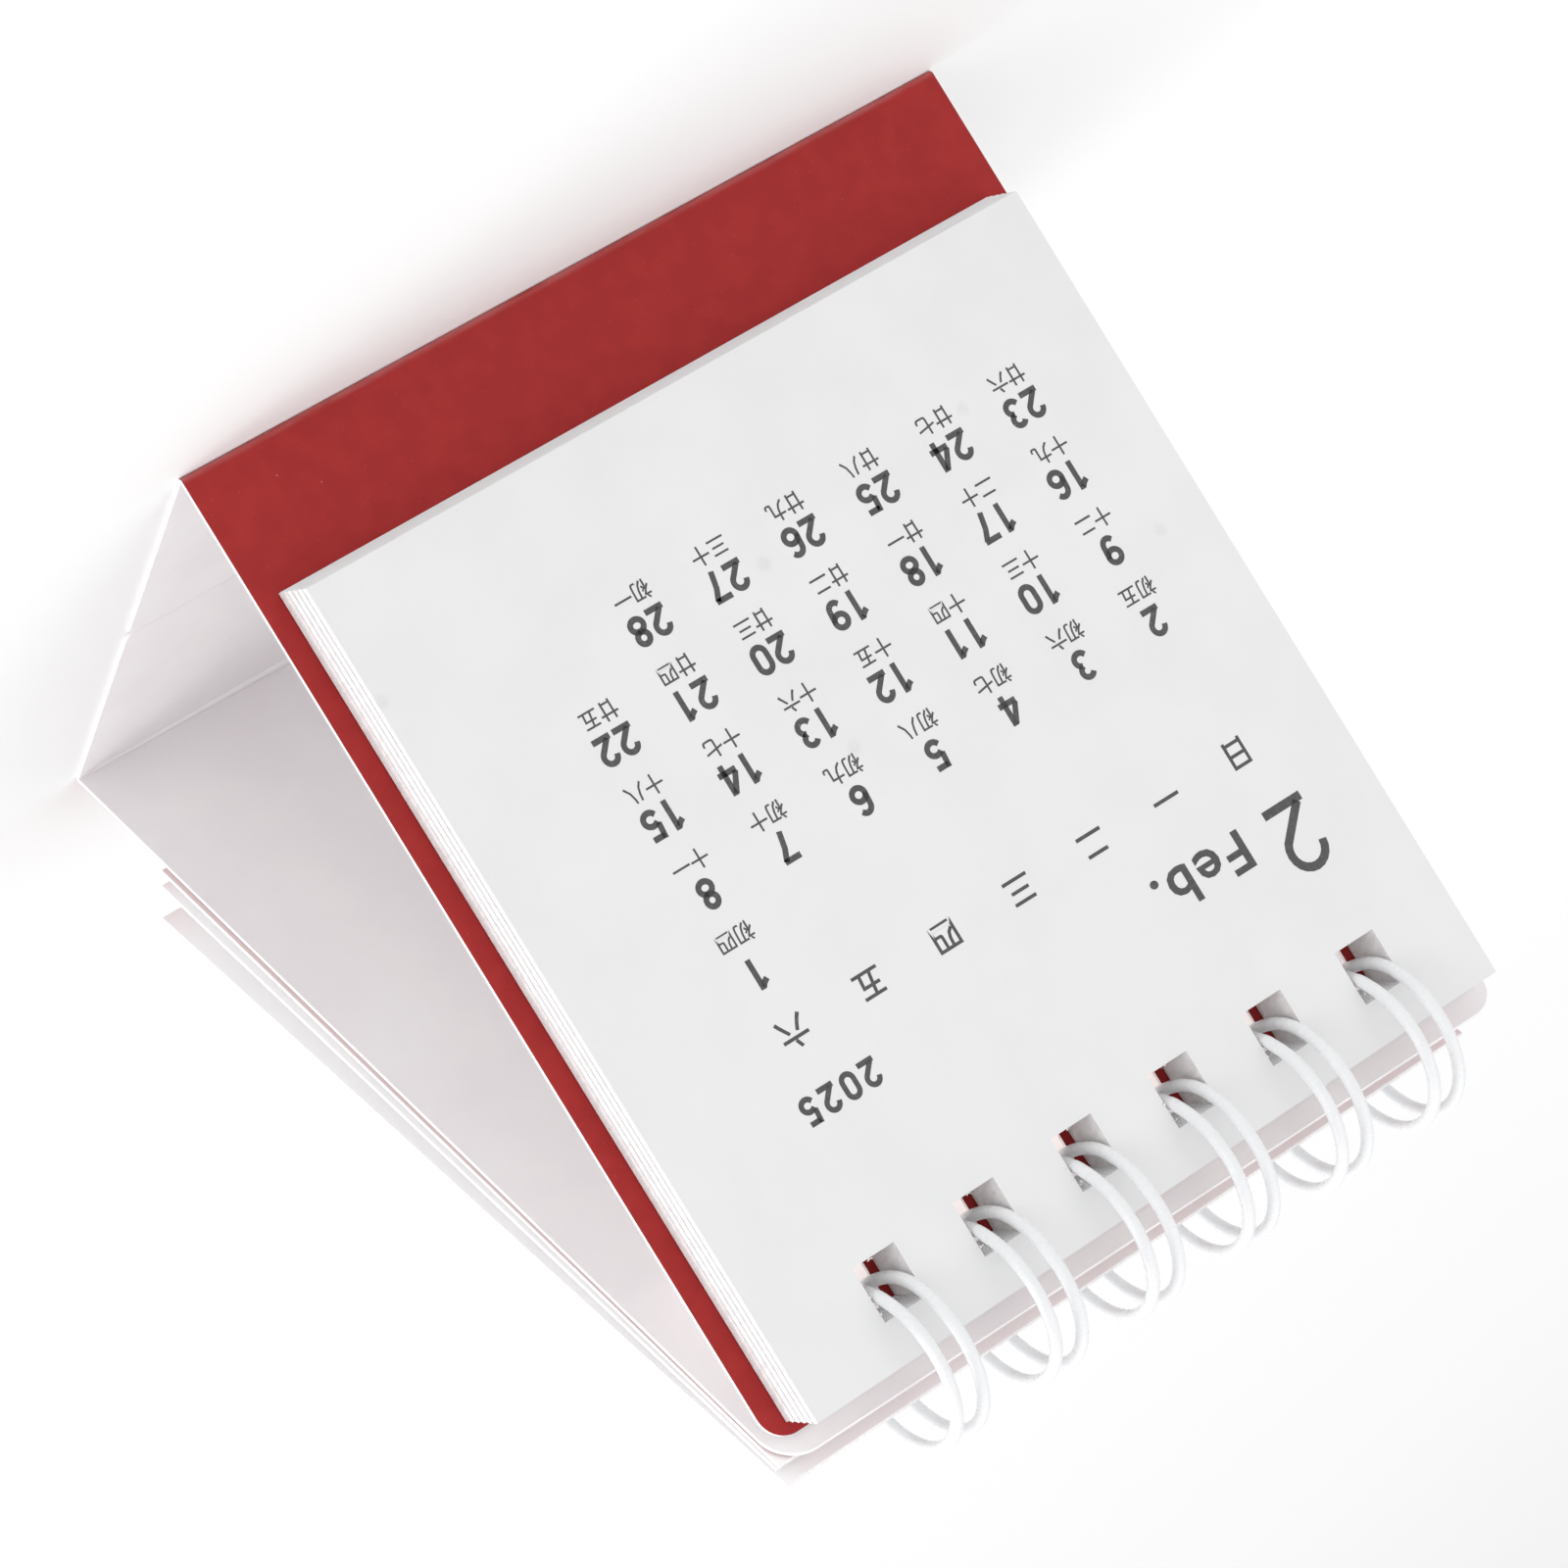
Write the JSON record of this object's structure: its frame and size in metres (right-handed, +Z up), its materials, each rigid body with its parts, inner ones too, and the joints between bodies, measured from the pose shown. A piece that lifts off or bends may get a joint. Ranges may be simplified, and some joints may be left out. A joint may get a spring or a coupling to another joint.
{
  "type": "flip desk calendar",
  "caption": "Tent-shaped desk calendar of folded card with month leaves that turn on a twin-loop wire binding.",
  "frame": {"origin": "middle of the underside of the base, on the surface that the calendar stands on", "axes": "+Z up, -Y towards the viewer of the front leaves, +X to that viewer's right along the binding"},
  "size_m": [0.095, 0.0645, 0.112],
  "materials": {
    "red_card": "matt printed red outside, plain white inside",
    "leaf_paper": "uncoated white paper",
    "coated_wire": "gloss white nylon coating"
  },
  "bodies": {
    "front_stand": {"front_board": "red_card", "twin_loop_wire": "coated_wire"},
    "back_stand": {"back_board": "red_card"},
    "base_front": {"base_front_strip": "red_card", "base_crease_band": "red_card"},
    "base_rear": {"base_rear_strip": "red_card"},
    "december": {"december_leaf": "leaf_paper"},
    "november": {"november_leaf": "leaf_paper"},
    "october": {"october_leaf": "leaf_paper"},
    "september": {"september_leaf": "leaf_paper"},
    "august": {"august_leaf": "leaf_paper"},
    "july": {"july_leaf": "leaf_paper"},
    "june": {"june_leaf": "leaf_paper"},
    "may": {"may_leaf": "leaf_paper"},
    "april": {"april_leaf": "leaf_paper"},
    "march": {"march_leaf": "leaf_paper"},
    "february": {"february_leaf": "leaf_paper"},
    "cover": {"cover_leaf": "leaf_paper"},
    "year": {"year_leaf": "leaf_paper"},
    "january": {"january_leaf": "leaf_paper"}
  },
  "joints": [
    {"name": "stand_fold", "type": "hinge", "parent": "front_stand", "child": "back_stand", "pos_m": [0, -0.0004, 0.0998], "axis": [1, 0, 0], "range_deg": [-29.5, 0], "deforming": ["base_crease_band"]},
    {"name": "front_base_fold", "type": "hinge", "parent": "front_stand", "child": "base_front", "pos_m": [0, -0.02881, 0.00045], "axis": [1, 0, 0], "range_deg": [0, 72.5]},
    {"name": "rear_base_fold", "type": "hinge", "parent": "back_stand", "child": "base_rear", "pos_m": [0, 0.02881, 0.00045], "axis": [1, 0, 0], "range_deg": [-72.2, 0]},
    {"name": "turn_december", "type": "hinge", "parent": "front_stand", "child": "december", "pos_m": [0, -0.00177, 0.10303], "axis": [1, 0, 0], "range_deg": [-7, 0]},
    {"name": "turn_november", "type": "hinge", "parent": "december", "child": "november", "pos_m": [0, -0.00177, 0.10303], "axis": [1, 0, 0], "range_deg": [-7, 0]},
    {"name": "turn_october", "type": "hinge", "parent": "november", "child": "october", "pos_m": [0, -0.00177, 0.10303], "axis": [1, 0, 0], "range_deg": [-7, 0]},
    {"name": "turn_september", "type": "hinge", "parent": "october", "child": "september", "pos_m": [0, -0.00177, 0.10303], "axis": [1, 0, 0], "range_deg": [-7, 0]},
    {"name": "turn_august", "type": "hinge", "parent": "september", "child": "august", "pos_m": [0, -0.00177, 0.10303], "axis": [1, 0, 0], "range_deg": [-7, 0]},
    {"name": "turn_july", "type": "hinge", "parent": "august", "child": "july", "pos_m": [0, -0.00177, 0.10303], "axis": [1, 0, 0], "range_deg": [-7, 0]},
    {"name": "turn_june", "type": "hinge", "parent": "july", "child": "june", "pos_m": [0, -0.00177, 0.10303], "axis": [1, 0, 0], "range_deg": [-7, 0]},
    {"name": "turn_may", "type": "hinge", "parent": "june", "child": "may", "pos_m": [0, -0.00177, 0.10303], "axis": [1, 0, 0], "range_deg": [-7, 0]},
    {"name": "turn_april", "type": "hinge", "parent": "may", "child": "april", "pos_m": [0, -0.00177, 0.10303], "axis": [1, 0, 0], "range_deg": [-7, 0]},
    {"name": "turn_march", "type": "hinge", "parent": "april", "child": "march", "pos_m": [0, -0.00177, 0.10303], "axis": [1, 0, 0], "range_deg": [-7, 0]},
    {"name": "turn_february", "type": "hinge", "parent": "march", "child": "february", "pos_m": [0, -0.00177, 0.10363], "axis": [-1, 0, 0], "range_deg": [0, 145]},
    {"name": "turn_cover", "type": "hinge", "parent": "back_stand", "child": "cover", "pos_m": [0, -0.00177, 0.10303], "axis": [1, 0, 0], "range_deg": [0, 7]},
    {"name": "turn_year", "type": "hinge", "parent": "cover", "child": "year", "pos_m": [0, -0.00177, 0.10303], "axis": [1, 0, 0], "range_deg": [0, 7]},
    {"name": "turn_january", "type": "hinge", "parent": "year", "child": "january", "pos_m": [0, -0.00177, 0.10363], "axis": [-1, 0, 0], "range_deg": [-125, 0]}
  ],
  "couplings": [
    {"joint": "front_base_fold", "follows": "stand_fold", "ratio": -2.4552},
    {"joint": "rear_base_fold", "follows": "stand_fold", "ratio": 2.445}
  ]
}
